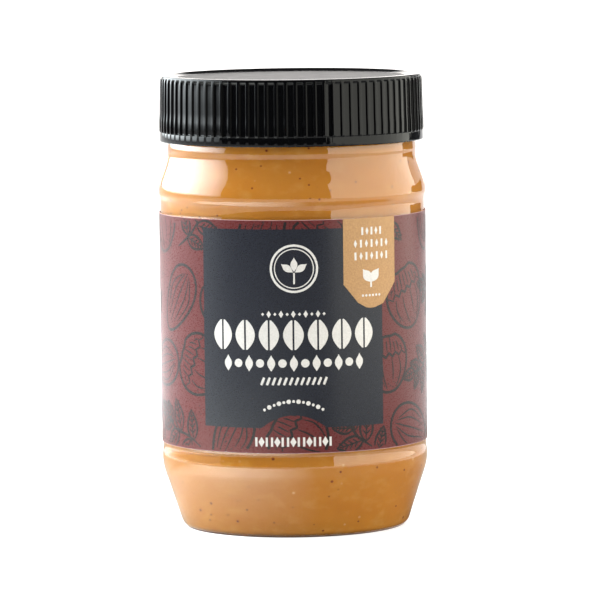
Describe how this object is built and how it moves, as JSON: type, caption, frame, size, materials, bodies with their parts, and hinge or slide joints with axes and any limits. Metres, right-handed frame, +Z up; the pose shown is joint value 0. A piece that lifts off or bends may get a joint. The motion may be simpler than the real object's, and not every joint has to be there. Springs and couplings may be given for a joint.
{
  "type": "peanut butter jar",
  "caption": "Shut clear jar of peanut butter with a tapered heel, a ribbed black screw lid and a wrap-round label in dark red with a navy panel.",
  "frame": {"origin": "middle of the foot ring, on the surface that the jar stands on", "axes": "+Z up along the jar's axis, -Y out of the label's front, +X to the right of that front"},
  "size_m": [0.0742, 0.0742, 0.1255],
  "materials": {
    "jar": "clear moulded plastic, polished",
    "peanut_butter": "smooth dense spread, wet where it meets the wall",
    "lid": "moulded black, gloss",
    "label": "printed and coated, satin"
  },
  "bodies": {
    "root": {"jar": "jar", "peanut_butter": "peanut_butter", "lid": "lid", "label": "label"}
  },
  "joints": []
}
